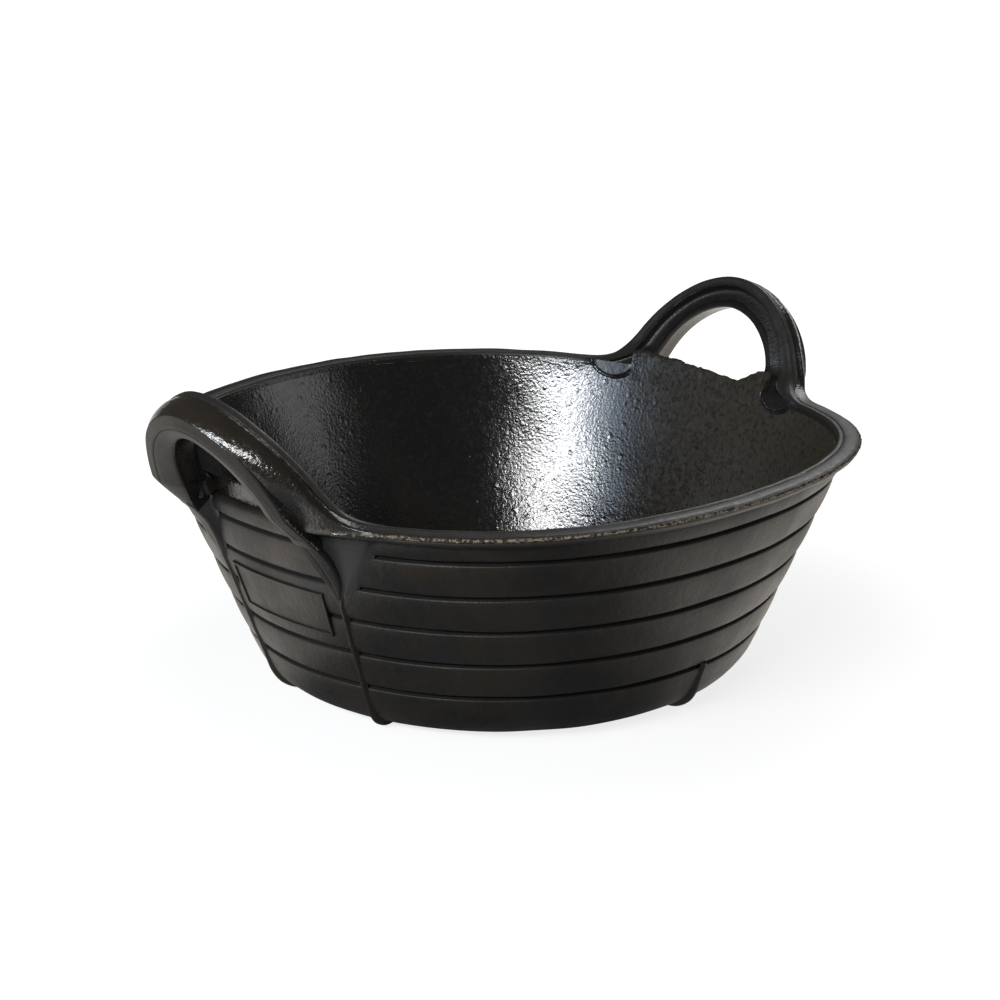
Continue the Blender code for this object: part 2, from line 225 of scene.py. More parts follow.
def make_mesh(name, bm, materials):
    mesh = bpy.data.meshes.new(name)
    bm.to_mesh(mesh)
    bm.free()
    for material in materials:
        mesh.materials.append(material)
    return mesh


def finish_piece(name, bm, materials, sharp):
    """Turns a bmesh into an object at the origin that rides on the tub, smooth up to the sharp angle."""
    mesh = make_mesh(name, bm, materials)
    mesh.shade_smooth()
    mesh.set_sharp_from_angle(angle=radians(sharp))
    piece = add_object(name, mesh)
    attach(piece, "root")
    return piece


def add_node(tree, kind, links=None, values=None, **settings):
    """A shader node with its settings, its fixed inputs and the outputs that feed it."""
    made = tree.nodes.new(kind)
    for key, value in settings.items():
        setattr(made, key, value)
    for key, value in (values or {}).items():
        made.inputs[key].default_value = value
    for key, output in (links or {}).items():
        tree.links.new(output, made.inputs[key])
    return made


def noise_node(tree, vector, scale, detail, roughness, distortion=0.0):
    made = add_node(tree, "ShaderNodeTexNoise", {"Vector": vector},
                    {"Scale": scale, "Detail": detail, "Roughness": roughness, "Distortion": distortion})
    return made.outputs["Fac"]


def ramp_node(tree, value, low, high, to_low=0.0, to_high=1.0):
    made = add_node(tree, "ShaderNodeMapRange", {"Value": value},
                    {"From Min": low, "From Max": high, "To Min": to_low, "To Max": to_high},
                    interpolation_type="SMOOTHSTEP")
    return made.outputs["Result"]


def along_node(tree, place, direction):
    """How far a place lies along a direction from the middle of the tub."""
    made = add_node(tree, "ShaderNodeVectorMath", {0: place}, {1: direction}, operation="DOT_PRODUCT")
    return made.outputs["Value"]


def math_node(tree, operation, first, second):
    made = add_node(tree, "ShaderNodeMath", operation=operation)
    for index, value in enumerate((first, second)):
        if isinstance(value, (int, float)):
            made.inputs[index].default_value = value
        else:
            tree.links.new(value, made.inputs[index])
    return made.outputs["Value"]


def blend_colour(tree, share, first, second):
    """Mixes two colours, each one fixed or an output, by a share from 0 to 1."""
    made = add_node(tree, "ShaderNodeMix", {"Factor": share}, data_type="RGBA")
    for index, value in ((6, first), (7, second)):
        if isinstance(value, tuple):
            made.inputs[index].default_value = (*value, 1.0)
        else:
            tree.links.new(value, made.inputs[index])
    return made.outputs[2]


def make_moulding_marks():
    """Marks that all the rubber has: cloudy patches, a fine grain, and streaks that run up the slope."""
    tree = bpy.data.node_groups.new("moulding_marks", "ShaderNodeTree")
    tree.interface.new_socket("Vector", in_out="INPUT", socket_type="NodeSocketVector")
    for name in ("Cloud", "Grain", "Streak", "Speck"):
        tree.interface.new_socket(name, in_out="OUTPUT", socket_type="NodeSocketFloat")
    place = tree.nodes.new("NodeGroupInput").outputs["Vector"]
    end = tree.nodes.new("NodeGroupOutput")
    upright = add_node(tree, "ShaderNodeMapping", {"Vector": place}, {"Scale": (1.0, 1.0, 0.09)})
    tree.links.new(noise_node(tree, place, 14.0, 5.0, 0.62, 0.4), end.inputs["Cloud"])
    tree.links.new(noise_node(tree, place, 900.0, 2.0, 0.6), end.inputs["Grain"])
    tree.links.new(noise_node(tree, upright.outputs["Vector"], 210.0, 4.0, 0.6), end.inputs["Streak"])
    tree.links.new(noise_node(tree, place, 260.0, 3.0, 0.7), end.inputs["Speck"])
    return tree


moulding_marks = make_moulding_marks()


def start_rubber(name, specular):
    """A rubber material with its tree, its coordinates and the common marks ready to use."""
    material = bpy.data.materials.new(name)
    material.use_nodes = True
    tree = material.node_tree
    tree.nodes["Principled BSDF"].inputs["Specular IOR Level"].default_value = specular
    place = tree.nodes.new("ShaderNodeTexCoord").outputs["Object"]
    marks = add_node(tree, "ShaderNodeGroup", {"Vector": place}, node_tree=moulding_marks)
    return SimpleNamespace(material=material, tree=tree, place=place, marks=marks.outputs)


def find_mark(rubber, mark):
    """A height or shade: one of the common marks by name, a noise by its settings, or an output as it is."""
    if isinstance(mark, str):
        return rubber.marks[mark]
    return noise_node(rubber.tree, rubber.place, *mark) if isinstance(mark, tuple) else mark


def find_share(rubber, share):
    """A share: a mesh attribute by name, a mark with the ramp it is read through, or an output as it is."""
    if isinstance(share, str):
        return add_node(rubber.tree, "ShaderNodeAttribute", attribute_name=share).outputs["Fac"]
    if isinstance(share, tuple):
        return ramp_node(rubber.tree, find_mark(rubber, share[0]), *share[1:])
    return share


def finish_rubber(rubber, base, layers, rough, bumps):
    """Lays colours over a base, as (share, colour, how much rougher it is there), and bumps over each other,
    as (mark, height)."""
    tree = rubber.tree
    shader = tree.nodes["Principled BSDF"].inputs
    rough = find_share(rubber, rough)
    for share, colour, rougher in layers:
        share = find_share(rubber, share)
        base = blend_colour(tree, share, base, colour)
        if rougher:
            rough = math_node(tree, "ADD", rough, math_node(tree, "MULTIPLY", share, rougher))
    tree.links.new(base, shader["Base Color"])
    tree.links.new(rough, shader["Roughness"])
    below = {}
    for mark, height in bumps:
        bump = add_node(tree, "ShaderNodeBump", {"Height": find_mark(rubber, mark), **below},
                        {"Strength": 1.0, "Distance": height})
        below = {"Normal": bump.outputs["Normal"]}
    tree.links.new(below["Normal"], shader["Normal"])
    return rubber.material


def make_inside_rubber():
    """Glossy black, dimpled like orange peel, with a dusty mottle, dark pits, and brown patches that grow
    paler towards one side.
    """
    rubber = start_rubber("inside_rubber", specular=1.0)
    tree, place = rubber.tree, rubber.place
    mottle = noise_node(tree, place, 330.0, 4.0, 0.75)
    # Brown patches, paler towards the +x, -y side of the inside wall
    brown_side = ramp_node(tree, along_node(tree, place, (0.87, -0.5, 0.0)), 0.08, 0.19)
    brown_side_patches = math_node(tree, "MULTIPLY", brown_side, ramp_node(tree, mottle, 0.30, 0.62, 0.25, 1.0))
    pits = add_node(tree, "ShaderNodeTexVoronoi", {"Vector": place}, {"Scale": 105.0, "Randomness": 1.0})
    return finish_rubber(
        rubber, base=(0.0035, 0.0038, 0.0046),
        layers=((("Cloud", 0.40, 0.62), (0.0100, 0.0080, 0.0055), 0),
                ((mottle, 0.50, 0.68, 0.0, 0.5), (0.028, 0.025, 0.021), 0),
                (brown_side_patches, (0.042, 0.034, 0.022), 0.25)),
        rough=("Speck", 0.30, 0.70, 0.12, 0.21),
        bumps=((ramp_node(tree, pits.outputs["Distance"], 0.05, 0.26), 0.00012), ((540.0, 1.5, 0.5), 0.00017),
               ("Speck", 0.00010), ("Streak", 0.00007)))


inside_rubber = make_inside_rubber()

# Satin charcoal with brown and blue clouds, fine upright streaks and pale scuffs, with painted shade in the
# creases: near black and rougher where the crease attribute is set
outside_rubber = finish_rubber(
    start_rubber("outside_rubber", specular=0.42), base=(0.0042, 0.0040, 0.0038),
    layers=((("Cloud", 0.34, 0.66), (0.0200, 0.0158, 0.0108), 0),
            (("Streak", 0.56, 0.74, 0.0, 0.5), (0.024, 0.022, 0.020), 0),
            (((38.0, 5.0, 0.7), 0.52, 0.70, 0.0, 0.8), (0.0210, 0.0145, 0.0075), 0),
            (((23.0, 4.0, 0.6), 0.54, 0.68, 0.0, 0.7), (0.0095, 0.0110, 0.0155), 0),
            ("crease", (0.0010, 0.0008, 0.0006), 0.45)),
    rough=("Cloud", 0.35, 0.65, 0.52, 0.38),
    bumps=(("Grain", 0.00006), ("Speck", 0.00034), ("Streak", 0.00016)))


def make_tub_body():
    outside = [(0.0, RUNNER_HEIGHT), (FLOOR_RADIUS * 0.5, RUNNER_HEIGHT)]
    outside += reversed(foot_curve(0, RUNNER_HEIGHT, FOOT_TOP, FOOT_STEPS))
    outside += reversed(band_run())
    inside_foot = FOOT_TOP + WALL_THICKNESS
    inside = [slope_point(SEAT + (up_at_height(inside_foot) - SEAT) * step / WALL_STEPS, -WALL_THICKNESS)
              for step in range(WALL_STEPS)]
    inside += foot_curve(WALL_THICKNESS, FLOOR_TOP, inside_foot, FOOT_STEPS)
    inside += [(FLOOR_RADIUS * share, FLOOR_TOP) for share in FLOOR_RINGS] + [(0.0, FLOOR_TOP)]
    bm = bmesh.new()
    crease = bm.verts.layers.float.new("crease")
    edges = chain_edges(bm, [Vector((radius, 0, height)) for radius, height in outside + inside])
    bmesh.ops.spin(bm, geom=bm.verts[:] + edges, cent=(0, 0, 0), axis=(0, 0, 1), angle=2 * pi,
                   steps=BODY_TURNS, use_merge=True)
    bmesh.ops.remove_doubles(bm, verts=bm.verts, dist=0.00002)
    bmesh.ops.recalc_face_normals(bm, faces=bm.faces)
    for face in bm.faces:
        middle = face.calc_center_median()
        within = middle.z > RUNNER_HEIGHT + FLOOR_THICKNESS * 0.6 and wall_depth(middle) < SKIN_MIDDLE
        face.material_index = 1 if within and face.normal.z > -0.2 else 0
    # Vertices deep in the creases, between the foot and the rim, are marked for painted shade
    for vert in bm.verts:
        depth = wall_depth(vert.co)
        if SKIN_MIDDLE < depth < CREASE_SHADE_DEPTH and CREASE_SHADE_FOOT < vert.co.z < CREASE_SHADE_TOP:
            vert[crease] = 1.0
        vert.co = out_of_round(atan2(vert.co.y, vert.co.x), hypot(vert.co.x, vert.co.y), vert.co.z)
    soften(bm, strength=0.00045, size=0.035, seed=3.0)
    return finish_piece("tub_body", bm, [outside_rubber, inside_rubber], sharp=55)


tub_body = make_tub_body()
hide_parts("side_wall", "floor_disc")

# The rim and both handles: one cord of rubber round a thin wall edge. On the rim it is pressed into a lip
# with a rough flash line along its outer edge, and at each end it climbs into a loop, where it is a glossy
# round bar with a flat strip beside it. The mould closes on both from above and below.
HANDLE_REACH = 0.1095
HANDLE_RISE = 0.0694
HANDLE_FLARE = radians(1.1)
HOLE_RISE = 0.0486
HOLE_ROUNDNESS = 1.83
SHOULDER_SHARE_OF_REACH = 0.584
SHOULDER_SHARE_OF_RISE = 0.354
SHOULDER_SLOPE = radians(57.6)
ROOT_SWEEP = 0.0253
LOWER_SHOULDER_SWEEP = 0.0174
UPPER_SHOULDER_SWEEP = 0.0187
TOP_SWEEP = 0.0295
EDGE_STEPS = 40
HOLE_STEPS = 60
FAR_LEAN = 0.0036
FAR_LEAN_RISE = 0.016
ROOT_SINK = 0.0068
ROOT_SINK_RISE = 0.024
HOLE_WIDTHS = {NEAR_SIDE: (0.0415, 0.0363, 0.0504, 0.0578), FAR_SIDE: (0.0500, 0.0485, 0.0570, 0.0640)}
STRIP_RISES = (0.0514, 0.0590, 0.0671)
ROOT_ANGLE = HANDLE_REACH / RIM_RADIUS
SECTION_PARTS = 2
LIP_STATIONS = 170
HANDLE_STATIONS = 90

# How the section changes along half a handle, as shares of its length and of its outer edge
ROOT_SHARE = 0.36
OUTER_ROOT_SHARE = 0.29
LIP_FADE_SHARE = 0.42
HOLLOW_FROM_SHARE = 0.60
HOLLOW_FADE_SHARE = 0.24
ROOT_CREASE = 0.40
HIGHEST_CREASE = 0.80

# Section of the lip: its inside, its crown as (out level from the wall, rise from the rim) and its seat
LIP_INSIDE_TOP = -0.0043
LIP_INSIDE_STEPS = 13
LIP_CROWN = draw_line((MM, MM), (-7.75, -1), (-7.4, -0.45), (-6.6, -0.2), (-5.2, -0.3), (-4.7, -0.65),
    (-4.2, -0.35), (-3.2, -0.15), (-1.6, 0), (0.4, 0), (2.2, -0.15), (3.6, -0.5), (4.5, -1.1), (4.8, -2.1),
    (6, -2), (5.4, -2.6), (5, -2.9), (5.1, -3.6), (4.7, -4.5), (3.9, -5.2), (2.8, -5.8), (1.6, -6.4),
    (0.6, -7.2))
LIP_SEAT = (0.0002, -0.0018, -0.0040, -0.0060)

# Section of the bar, as (across from -1 at the hand hole to 1 outside, out)
BAR_INSIDE = draw_line((1, MM), (-0.96, 1), (-0.88, 0.3), (-0.78, 0.4), (-0.66, 0.8), (-0.45, 1.6),
    (-0.2, 2.7), (0.05, 3.2), (0.22, 2.2), (0.32, -0.4), (0.38, -2), (0.45, -1.8), (0.6, -1.4), (0.78, -1.2),
    (0.9, -0.9))
BAR_EDGE = draw_line((1, MM), (0.972, -0.3), (1, 0.6), (1.012, 2), (1.01, 3.4), (0.985, 4.1), (0.955, 4.6))
BAR_BACK_WIDTH = 1.03
BAR_BACK_FOOT = 0.0050
BAR_BACK_HEIGHT = 0.0150
BAR_BACK_FULLNESS = 1.2
BAR_BACK_START = (0.995, 0.0056)
BAR_CREASE_OUT = 0.0192
HOLLOW_EDGE = draw_line((1, MM), (0.985, 5.6), (1.01, 8), (0.99, 10), (0.9, 11.2), (0.74, 11.6))
HOLLOW_FLOOR = draw_line((1, MM), (0.5, 11.8), (0.3, 12.2), (0.14, 13), (0.05, 13.2), (0, 12.8))
COVERED_BESIDE_CREASE = draw_line((1, MM), (0.1, 9), (0.2, 8.8), (0.35, 8.5))
COVERED = draw_line((1, MM), (-0.62, 8), (-0.8, 7.5), (-0.9, 6.6), (-0.93, 5.2), (-0.94, 4), (-0.94, 2.8),
    (-0.94, 1.8))

# Corners of the section, counted from the seat, where each kind of surface lies
INNER_CORNER = 9.0
FLAT_CORNER = 12.0
INNER_FACE_CORNER = 14.0
EDGE_CORNER = 14.2
FLASH_CORNER = 27.0


def from_level(reach, rise):
    """Up and out of a point given level from the wall's face and plumb from the rim's height."""
    up = reach * sin(WALL_LEAN) + rise * cos(WALL_LEAN)
    return up, reach * cos(WALL_LEAN) - rise * sin(WALL_LEAN)


def lip_outline():
    """Corners of the lip's section, from its seat up the inside, over the top and back under the lip."""
    outline = [(SEAT + (LIP_INSIDE_TOP - SEAT) * step / LIP_INSIDE_STEPS, -WALL_THICKNESS)
               for step in range(LIP_INSIDE_STEPS + 1)]
    outline += [from_level(reach, rise) for reach, rise in LIP_CROWN]
    return outline + [(SEAT, out) for out in LIP_SEAT]


def bar_outline(crease, hollow):
    """The same corners on the bar: a round back over the crease, or a hollow where the root is sunk."""
    round_back = [BAR_BACK_START]
    for step in range(1, 9):
        turn = radians(8 + 80 * step / 9)
        round_back.append((crease + (BAR_BACK_WIDTH - crease) * cos(turn) ** BAR_BACK_FULLNESS,
                           BAR_BACK_FOOT + BAR_BACK_HEIGHT * sin(turn) ** BAR_BACK_FULLNESS))
    round_back.append((crease, BAR_CREASE_OUT))
    sunk = HOLLOW_EDGE + [(crease + (1 - crease) * share, out) for share, out in HOLLOW_FLOOR]
    back = [(high[0] + (low[0] - high[0]) * hollow, high[1] + (low[1] - high[1]) * hollow)
            for high, low in zip(round_back, sunk)]
    beside = [(crease - gap, out) for gap, out in COVERED_BESIDE_CREASE]
    return BAR_INSIDE + BAR_EDGE + back + beside + COVERED


def handle_outer_edge():
    """Outer edge of half a handle as (along the rim, up), from the root's end to the top of the loop."""
    root = Vector((HANDLE_REACH, max(up for up, out in lip_outline()), 0))
    shoulder = Vector((HANDLE_REACH * SHOULDER_SHARE_OF_REACH, HANDLE_RISE * SHOULDER_SHARE_OF_RISE, 0))
    top = Vector((0, HANDLE_RISE, 0))
    slope = Vector((cos(SHOULDER_SLOPE), -sin(SHOULDER_SLOPE), 0))
    low = interpolate_bezier(root, root - Vector((ROOT_SWEEP, 0, 0)),
                             shoulder + slope * LOWER_SHOULDER_SWEEP, shoulder, EDGE_STEPS)
    high = interpolate_bezier(shoulder, shoulder - slope * UPPER_SHOULDER_SWEEP,
                              top + Vector((TOP_SWEEP, 0, 0)), top, EDGE_STEPS)
    return low + high[1:]


def hole_line(half_width, rise):
    """A line round half a hand hole as (along the rim, up), from the wall's edge to the top of the hole."""
    line = []
    for step in range(HOLE_STEPS + 1):
        turn = pi / 2 * step / HOLE_STEPS
        along = half_width * max(cos(turn), 0.0) ** (2 / HOLE_ROUNDNESS)
        line.append(Vector((along, SEAT + (rise - SEAT) * sin(turn) ** (2 / HOLE_ROUNDNESS), 0)))
    return line


def along_path(path, share):
    """The point at a share of a path's length."""
    lengths = [(after - before).length for before, after in zip(path, path[1:])]
    target = share * sum(lengths)
    for before, after, length in zip(path, path[1:], lengths):
        if target <= length:
            return before.lerp(after, target / length)
        target -= length
    return path[-1].copy()


def round_corners(corners, parts):
    """A smooth closed curve through the corners of a section, with the same number of points between each."""
    count = len(corners)
    curve = []
    for index in range(count):
        before, first, second, after = (Vector(corners[(index + offset) % count]) for offset in (-1, 0, 1, 2))
        for part in range(parts):
            share = part / parts
            square = share * share
            cube = square * share
            curve.append(0.5 * (2 * first + (second - before) * share
                                + (2 * before - 5 * first + 4 * second - after) * square
                                + (3 * first - before - 3 * second + after) * cube))
    return curve


def root_sink(up):
    """How far the handle's inner face lies in at its root, where it runs on into the wall."""
    return ROOT_SINK * (1 - ease(clamp((up - SEAT) / ROOT_SINK_RISE)))


def handle_flare(side, up):
    """How far a handle leans out at a height: the far one more than the near one."""
    lean = FAR_LEAN * ease(clamp(up / FAR_LEAN_RISE)) if side == FAR_SIDE else 0
    return tan(HANDLE_FLARE) * max(up, 0.0) + lean


def handle_section(share, outer, side, lip):
    """Section of half a handle at a share of its length, as (along, up, out): the lip grows into the bar."""
    hole = hole_line(HOLE_WIDTHS[side][0], HOLE_RISE)
    if share < ROOT_SHARE:
        low = Vector((HANDLE_REACH, SEAT, 0)).lerp(hole[0], share / ROOT_SHARE)
        high = along_path(outer, OUTER_ROOT_SHARE * share / ROOT_SHARE)
        crease_spot = low.lerp(high, ROOT_CREASE)
    else:
        rest = (share - ROOT_SHARE) / (1 - ROOT_SHARE)
        low = along_path(hole, rest)
        high = along_path(outer, OUTER_ROOT_SHARE + (1 - OUTER_ROOT_SHARE) * rest)
        crease_spot = along_path(hole_line(HOLE_WIDTHS[side][3], STRIP_RISES[2]), rest)
    width = (high - low).length
    crease = min(HIGHEST_CREASE, 2 * (crease_spot - low).dot(high - low) / width ** 2 - 1)
    hollow = ease(clamp((HOLLOW_FROM_SHARE - share) / HOLLOW_FADE_SHARE))
    bar = round_corners(bar_outline(crease, hollow), SECTION_PARTS)
    blend = ease(clamp(share / LIP_FADE_SHARE))
    crest = max(point.x for point in lip)
    section = []
    for index, (lip_point, bar_point) in enumerate(zip(lip, bar)):
        lip_across = 2 * (lip_point.x - SEAT) / (crest - SEAT) - 1
        across = lip_across + (bar_point.x - lip_across) * blend
        spot = low.lerp(high, (across + 1) / 2)
        out = lip_point.y + (bar_point.y - lip_point.y) * blend + handle_flare(side, spot.y)
        out -= blend * root_sink(spot.y) * clamp((INNER_FACE_CORNER - index / SECTION_PARTS) / 8.0)
        section.append((spot.x, spot.y, out))
    return section, blend


def make_rim_rubber():
    """Black rubber: glossy on the bars, dull and paler on strips, brown and rough on the flash line."""
    rubber = start_rubber("rim_rubber", specular=0.8)
    tree = rubber.tree
    strip, flash = (find_share(rubber, name) for name in ("strip", "flash"))
    crumbs = find_share(rubber, ((560.0, 2.0, 0.7), 0.47, 0.55))
    crumb_colour = blend_colour(tree, crumbs, (0.0030, 0.0022, 0.0014), (0.30, 0.235, 0.15))
    even = math_node(tree, "SUBTRACT", 1.0, math_node(tree, "MULTIPLY", strip, 0.75))
    return finish_rubber(
        rubber, base=(0.0070, 0.0064, 0.0058),
        layers=((("Cloud", 0.36, 0.64), (0.0210, 0.0155, 0.0100), 0), (strip, (0.017, 0.0153, 0.0130), 0.26),
                (flash, crumb_colour, 0.35), ("inner", (0.0070, 0.0056, 0.0038), 0.26)),
        rough=("Speck", 0.3, 0.7, 0.15, 0.27),
        bumps=((math_node(tree, "MULTIPLY", find_mark(rubber, (520.0, 1.5, 0.5)), even), 0.00028),
               (math_node(tree, "MULTIPLY", rubber.marks["Speck"], even), 0.00012),
               (math_node(tree, "MULTIPLY", rubber.marks["Speck"], flash), 0.0015)))


rim_rubber = make_rim_rubber()


def make_rim_and_handles():
    lip = round_corners(lip_outline(), SECTION_PARTS)
    outer = handle_outer_edge()
    stations = []
    for side in (NEAR_SIDE, FAR_SIDE):
        half = [handle_section(step / HANDLE_STATIONS, outer, side, lip)
                for step in range(HANDLE_STATIONS + 1)]
        for hand, sections in ((-1, half[:-1]), (1, reversed(half))):
            stations += [([(side + hand * along / RIM_RADIUS, up, out) for along, up, out in section], blend)
                         for section, blend in sections]
        arc = pi - 2 * ROOT_ANGLE
        for step in range(1, LIP_STATIONS):
            angle = side + ROOT_ANGLE + arc * step / LIP_STATIONS
            stations.append(([(angle, point.x, point.y) for point in lip], 0.0))
    stations.append(stations[0])
    bm = bmesh.new()
    strip, flash, inner = (bm.verts.layers.float.new(name) for name in ("strip", "flash", "inner"))
    for vert, column, row in weave_grid(bm, len(stations) - 1, len(lip)):
        section, blend = stations[column]
        row %= len(lip)
        corner = row / SECTION_PARTS
        angle, up, out = section[row]
        on_flash = clamp(2.4 - abs(corner - FLASH_CORNER)) * (1 - blend) ** 2
        if on_flash:
            around = Vector((cos(angle), sin(angle), corner * 0.02))
            out += on_flash * 0.0005 * noise.noise(around * 95)
            up += on_flash * 0.0004 * noise.noise(Vector((around.y, around.x, 0.3)) * 140)
        vert.co = on_wall(angle, up, out)
        on_edge = 0.9 * clamp(4.4 - abs(corner - EDGE_CORNER))
        on_flat = 0.75 * blend * clamp(3.2 - abs(corner - FLAT_CORNER))
        on_lip = 0.85 * (1 - blend) ** 2 * clamp((corner - 12.5) / 2)
        vert[flash] = on_flash
        vert[strip] = max(on_edge, on_flat, on_lip)
        vert[inner] = blend * clamp((INNER_CORNER - corner) / 1.5)
    seal(bm, ends=False)
    soften(bm, strength=0.00035, size=0.018, seed=11.0)
    return finish_piece("rim_and_handles", bm, [rim_rubber], sharp=60)


rim_and_handles = make_rim_and_handles()
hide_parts("rim_lip_front", "rim_lip_back", "near_handle", "far_handle")

# Bands round the hand holes: a flat strip of rubber lies on the outward face of each bar, lines the hole, and
# at both ends runs on down the wall as a fin that sinks into the rib. It is duller than the bar, with a fine
# seam along it. The fin's lines give degrees from the handle's middle, or depth, at heights up the slope.
BAND_STATIONS = 90
FIN_FOOT = -0.0540
FIN_TOP = -0.0160
FIN_RUN = 0.028
FIN_STEPS = 40
BEND_STEPS = 16
BEND_REACH = 4
SEAM_CORNER = 10
FIN_EDGE = draw_line((MM, 1), (-54, 15.9), (-51, 15.8), (-46, 15.1), (-40, 14.4), (-33, 13.5), (-23, 12.9),
    (-12, 12.8), (-4, 13))
FIN_SHOULDER = draw_line((MM, 1), (-54, 16.8), (-51, 17.1), (-43, 17.9), (-31, 18), (-18, 17.2), (-10, 16.2),
    (-4, 15.3))
FIN_DEPTH = draw_line((MM, MM), (-54, 2), (-50, 2.2), (-41, 3.2), (-31, 4.7), (-24, 6.2), (-14, 9.6),
    (-10, 11.8), (-7, 13), (-4, 13))

# How far out the band's edges lie on the bar, and how that changes up the slope
INNER_OUT, INNER_OUT_SLOPE = 0.0145, 0.064
SEAM_OUT = 0.0212
OUTER_OUT, OUTER_OUT_SLOPE = 0.0222, -0.038

# Rows of its section that show the bar's own rubber, inside the hole and on the outer flank
HOLE_ROWS = range(5, 13)
OUTER_ROWS = range(28, 37)


def hermite(first, second, start, end, share):
    """A value or point between two others, which leaves the first and meets the second at given rates."""
    return (first * (2 * share ** 3 - 3 * share ** 2 + 1) + start * (share ** 3 - 2 * share ** 2 + share)
            + second * (3 * share ** 2 - 2 * share ** 3) + end * (share ** 3 - share ** 2))


def line_at(line, height):
    """A value of a line drawn on the wall, read at a height with rounded bends."""
    if height <= line[0][0]:
        return line[0][1]
    for index in range(len(line) - 1):
        low, high = line[index], line[index + 1]
        if height <= high[0]:
            before = line[max(index - 1, 0)]
            after = line[min(index + 2, len(line) - 1)]
            run = high[0] - low[0]
            start = (high[1] - before[1]) / (high[0] - before[0]) * run
            end = (after[1] - low[1]) / (after[0] - low[0]) * run
            return hermite(low[1], high[1], start, end, (height - low[0]) / run)
    return line[-1][1]


def fin_section(up):
    """The band as a fin at a height on the wall, as corners (along the rim, up, out)."""
    edge = radians(line_at(FIN_EDGE, up)) * RIM_RADIUS
    shoulder = radians(line_at(FIN_SHOULDER, up)) * RIM_RADIUS
    depth = line_at(FIN_DEPTH, up) + 0.0002
    width = shoulder - edge
    corners = [(0.30, -0.0016), (0.10, -0.0015), (0.0, -0.0010), (-0.01, depth * 0.25), (0.0, depth * 0.55),
               (0.0, depth - 0.0010), (0.03, depth - 0.0003), (0.08, depth), (0.20, depth), (0.40, depth),
               (0.45, depth - 0.0002), (0.50, depth), (0.70, depth), (0.90, depth - 0.0001),
               (0.98, depth - 0.0006), (1.01, depth * 0.6), (1.0, depth * 0.2), (0.90, -0.0012),
               (0.60, -0.0016)]
    return [(edge + width * across, up, out) for across, out in corners]


def band_section(share, side):
    """The band on the bar at a share of the way round the hole, as corners (along the rim, up, out)."""
    widths = HOLE_WIDTHS[side]
    hole = along_path(hole_line(widths[0], HOLE_RISE), share)
    inner, seam, outer = (along_path(hole_line(width, rise), share)
                          for width, rise in zip(widths[1:], STRIP_RISES))
    inner_out = INNER_OUT + INNER_OUT_SLOPE * inner.y
    outer_out = OUTER_OUT + OUTER_OUT_SLOPE * outer.y
    sink = root_sink(hole.y)
    flare = handle_flare(side, seam.y)
    corners = ((hole, outer, 0.22, 0.0006 - sink), (hole, outer, 0.05, -0.0002 - sink),
               (hole, outer, -0.01, 0.0006 - sink), (hole, inner, 0.15, inner_out * 0.30),
               (hole, inner, 0.6, inner_out * 0.65), (hole, inner, 0.92, inner_out - 0.0016),
               (inner, seam, 0.02, inner_out - 0.0003), (inner, seam, 0.12, inner_out + 0.0009),
               (inner, seam, 0.5, (inner_out + SEAM_OUT) / 2 + 0.0005),
               (seam, outer, -0.10, SEAM_OUT - 0.0003), (seam, outer, 0.0, SEAM_OUT - 0.0007),
               (seam, outer, 0.10, SEAM_OUT + 0.0001), (seam, outer, 0.5, (SEAM_OUT + outer_out) / 2),
               (seam, outer, 0.90, outer_out),
               (outer, seam, 0.0, outer_out - 0.0006), (outer, seam, -0.05, outer_out - 0.0030),
               (outer, hole, 0.0, 0.0090), (outer, hole, 0.2, 0.0070), (outer, hole, 0.6, 0.0030))
    spots = [(one.lerp(other, part), out) for one, other, part, out in corners]
    return [(spot.x, spot.y, out + flare) for spot, out in spots]


def bend_section(fin, bar, share):
    """A section between the fin and the bar, each given by two of its sections, first and last."""
    corners = []
    for before, first, second, after in zip(*fin, *bar):
        before, first, second, after = (Vector(point) for point in (before, first, second, after))
        reach = (second - first).length
        start = (first - before).normalized() * reach
        end = (after - second).normalized() * reach * 0.4
        corners.append(tuple(hermite(first, second, start, end, share)))
    return corners


def make_hole_band(name, side):
    fin = [fin_section(FIN_FOOT + (FIN_TOP - FIN_FOOT) * step / FIN_STEPS) for step in range(FIN_STEPS + 1)]
    bar = [band_section(step / BAND_STATIONS, side) for step in range(BAND_STATIONS + 1)]
    start = next(index for index, section in enumerate(bar) if section[SEAM_CORNER][1] > FIN_TOP + FIN_RUN)
    meeting = (fin[-1 - BEND_REACH], fin[-1]), (bar[start], bar[start + BEND_REACH])
    bend = [bend_section(*meeting, step / BEND_STEPS) for step in range(1, BEND_STEPS)]
    half = fin + bend + bar[start:]
    other = [[(-along, up, out) for along, up, out in section] for section in reversed(half[:-1])]
    stations = [round_corners(section, 2) for section in half + other]
    rows = len(stations[0])
    bm = bmesh.new()
    flank = bm.verts.layers.float.new("flank")
    for vert, column, row in weave_grid(bm, len(stations) - 1, rows):
        row %= rows
        along, up, out = stations[column][row]
        vert[flank] = (row in OUTER_ROWS and up > FIN_TOP) or (row in HOLE_ROWS and up > SEAT)
        vert.co = on_wall(side - along / RIM_RADIUS, up, out)
    seal(bm)
    for face in bm.faces:
        face.material_index = 1 if min(vert[flank] for vert in face.verts) > 0.5 else 0
    soften(bm, strength=0.0003, size=0.022, seed=17.0)
    return finish_piece(name, bm, [band_rubber, rim_rubber], sharp=50)


